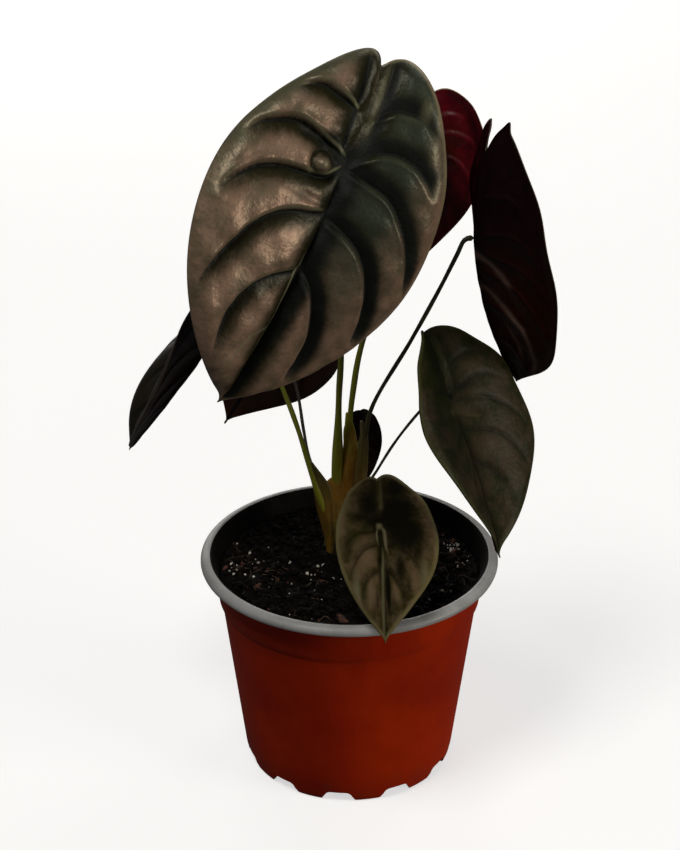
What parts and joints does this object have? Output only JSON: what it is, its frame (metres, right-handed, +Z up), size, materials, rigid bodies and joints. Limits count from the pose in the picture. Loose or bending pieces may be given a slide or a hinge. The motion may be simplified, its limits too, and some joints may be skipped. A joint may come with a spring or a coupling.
{
  "type": "potted alocasia",
  "caption": "Small houseplant with thick, quilted, copper and dark green shield-shaped leaves on slender stalks, in peat in an orange nursery pot with a grey rolled lip.",
  "frame": {"origin": "middle of the pot's foot, on the flat pad under the floor, in the plane that the pot stands on", "axes": "+Z up along the pot's axis, -Y towards the front of the plant, +X to the right seen from the front"},
  "size_m": [0.1805, 0.1559, 0.3226],
  "materials": {
    "pot": "satin terracotta-orange polypropylene outside, grey inside and over the rolled lip",
    "soil": "loose dark moist peat with white perlite grains, bark chips and fine fibres",
    "crown": "fleshy yellow-brown stem base wrapped in thin papery sheaths",
    "petiole": "smooth fleshy stalk, yellow-green above and orange-brown at the base",
    "blade": "thick waxy leaf, copper-olive with a metallic sheen above, near-black green along the sunken veins, dark maroon underneath"
  },
  "bodies": {
    "root": {"pot": "pot", "soil": "soil", "crown": "crown", "petiole_top": "petiole", "blade_top": "blade", "petiole_back": "petiole", "blade_back": "blade", "petiole_right": "petiole", "blade_right": "blade", "petiole_lower_right": "petiole", "blade_lower_right": "blade", "petiole_front": "petiole", "blade_front": "blade", "petiole_left": "petiole", "blade_left": "blade", "petiole_rear_left": "petiole", "blade_rear_left": "blade", "petiole_small": "petiole", "blade_small": "blade"}
  },
  "joints": []
}
